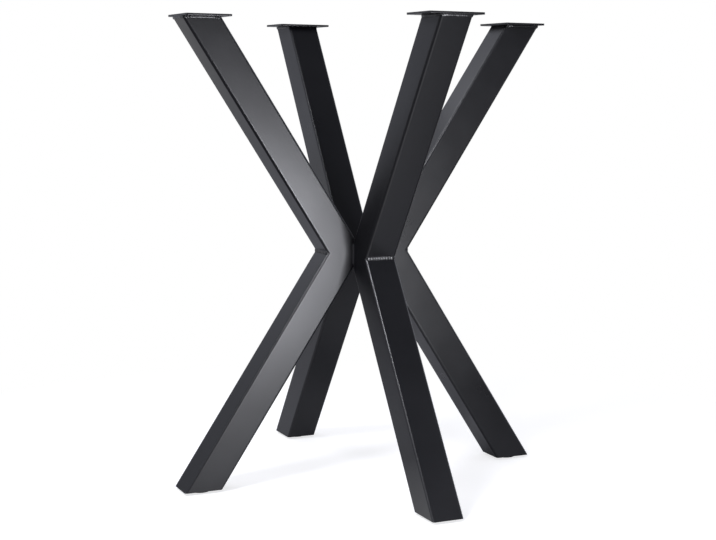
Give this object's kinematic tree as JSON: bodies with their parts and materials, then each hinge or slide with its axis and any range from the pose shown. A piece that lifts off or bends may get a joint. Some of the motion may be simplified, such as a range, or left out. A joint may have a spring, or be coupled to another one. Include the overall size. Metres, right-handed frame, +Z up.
{
  "type": "x shaped table base",
  "caption": "X shaped table base of square steel tube: bent legs meet back to back at mid-height, with screw plates on top and low glides at the feet.",
  "frame": {"origin": "on the floor, at the centre line where the four frames meet", "axes": "+Z up; the front leg points to -Y, the back leg to +Y, the right leg to +X and the left leg to -X"},
  "size_m": [0.596, 0.596, 0.71],
  "materials": {
    "powder_coat": "satin black powder coat with a very fine texture",
    "glide_plastic": "matt black plastic"
  },
  "bodies": {
    "root": {"upper_arm_right": "powder_coat", "lower_leg_right": "powder_coat", "top_plate_right": "powder_coat", "closing_plate_right": "powder_coat", "mitre_weld_right": "powder_coat", "plate_weld_right": "powder_coat", "upper_arm_back": "powder_coat", "lower_leg_back": "powder_coat", "top_plate_back": "powder_coat", "closing_plate_back": "powder_coat", "mitre_weld_back": "powder_coat", "plate_weld_back": "powder_coat", "upper_arm_left": "powder_coat", "lower_leg_left": "powder_coat", "top_plate_left": "powder_coat", "closing_plate_left": "powder_coat", "mitre_weld_left": "powder_coat", "plate_weld_left": "powder_coat", "upper_arm_front": "powder_coat", "lower_leg_front": "powder_coat", "top_plate_front": "powder_coat", "closing_plate_front": "powder_coat", "mitre_weld_front": "powder_coat", "plate_weld_front": "powder_coat", "seam_weld_right_back": "powder_coat", "seam_weld_back_left": "powder_coat", "seam_weld_left_front": "powder_coat", "seam_weld_front_right": "powder_coat", "foot_glide_right": "glide_plastic", "foot_glide_back": "glide_plastic", "foot_glide_left": "glide_plastic", "foot_glide_front": "glide_plastic"}
  },
  "joints": []
}
